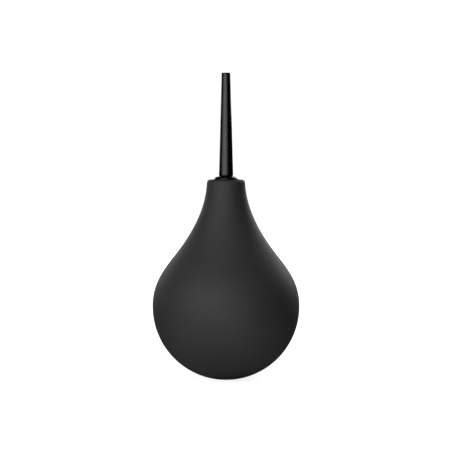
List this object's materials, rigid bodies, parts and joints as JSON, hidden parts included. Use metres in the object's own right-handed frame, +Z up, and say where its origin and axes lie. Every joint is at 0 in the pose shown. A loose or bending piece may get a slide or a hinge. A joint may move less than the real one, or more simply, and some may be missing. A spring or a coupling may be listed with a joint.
{
  "type": "dust blower bulb",
  "caption": "Hand squeezed air blower: a teardrop rubber bulb with a thick neck, a slender tapered nozzle screwed into its neck plug and an inlet valve in its base.",
  "frame": {"origin": "middle of the flat that the bulb stands on", "axes": "+Z up the axis that every piece is turned about, from the base to the nozzle's tip; X and Y are alike"},
  "size_m": [0.065, 0.065, 0.1345],
  "materials": {
    "bulb_rubber": "matt, soft to the touch",
    "plug_plastic": "gloss black",
    "nozzle_plastic": "gloss black",
    "seal_rubber": "black nitrile rubber",
    "valve_plastic": "satin black",
    "cage_nylon": "natural nylon",
    "disc_silicone": "grey silicone rubber"
  },
  "bodies": {
    "bulb": {"bulb": "bulb_rubber", "neck_plug": "plug_plastic"},
    "nozzle_seal": {"nozzle_o_ring": "seal_rubber"},
    "nozzle": {"nozzle": "nozzle_plastic"},
    "inlet_valve": {"valve_body": "valve_plastic", "valve_cage": "cage_nylon"},
    "valve_flap": {"valve_disc": "disc_silicone"}
  },
  "joints": [
    {"name": "squeeze", "type": "slide", "parent": "bulb", "child": "inlet_valve", "axis": [0, 0, 1], "range_m": [0, 0.025], "stiffness_N_per_m": 600, "deforming": ["bulb"]},
    {"name": "disc_lift", "type": "slide", "parent": "inlet_valve", "child": "valve_flap", "axis": [0, 0, 1], "range_m": [0, 0.0008]},
    {"name": "nozzle_lift", "type": "slide", "parent": "bulb", "child": "nozzle_seal", "axis": [0, 0, 1], "range_m": [0, 0.006]},
    {"name": "nozzle_turn", "type": "hinge", "parent": "nozzle_seal", "child": "nozzle", "pos_m": [0, 0, 0.0893], "axis": [0, 0, 1], "range_deg": [0, 1441]}
  ],
  "couplings": [
    {"joint": "nozzle_turn", "follows": "nozzle_lift", "rad_per_m": 4188.8}
  ]
}
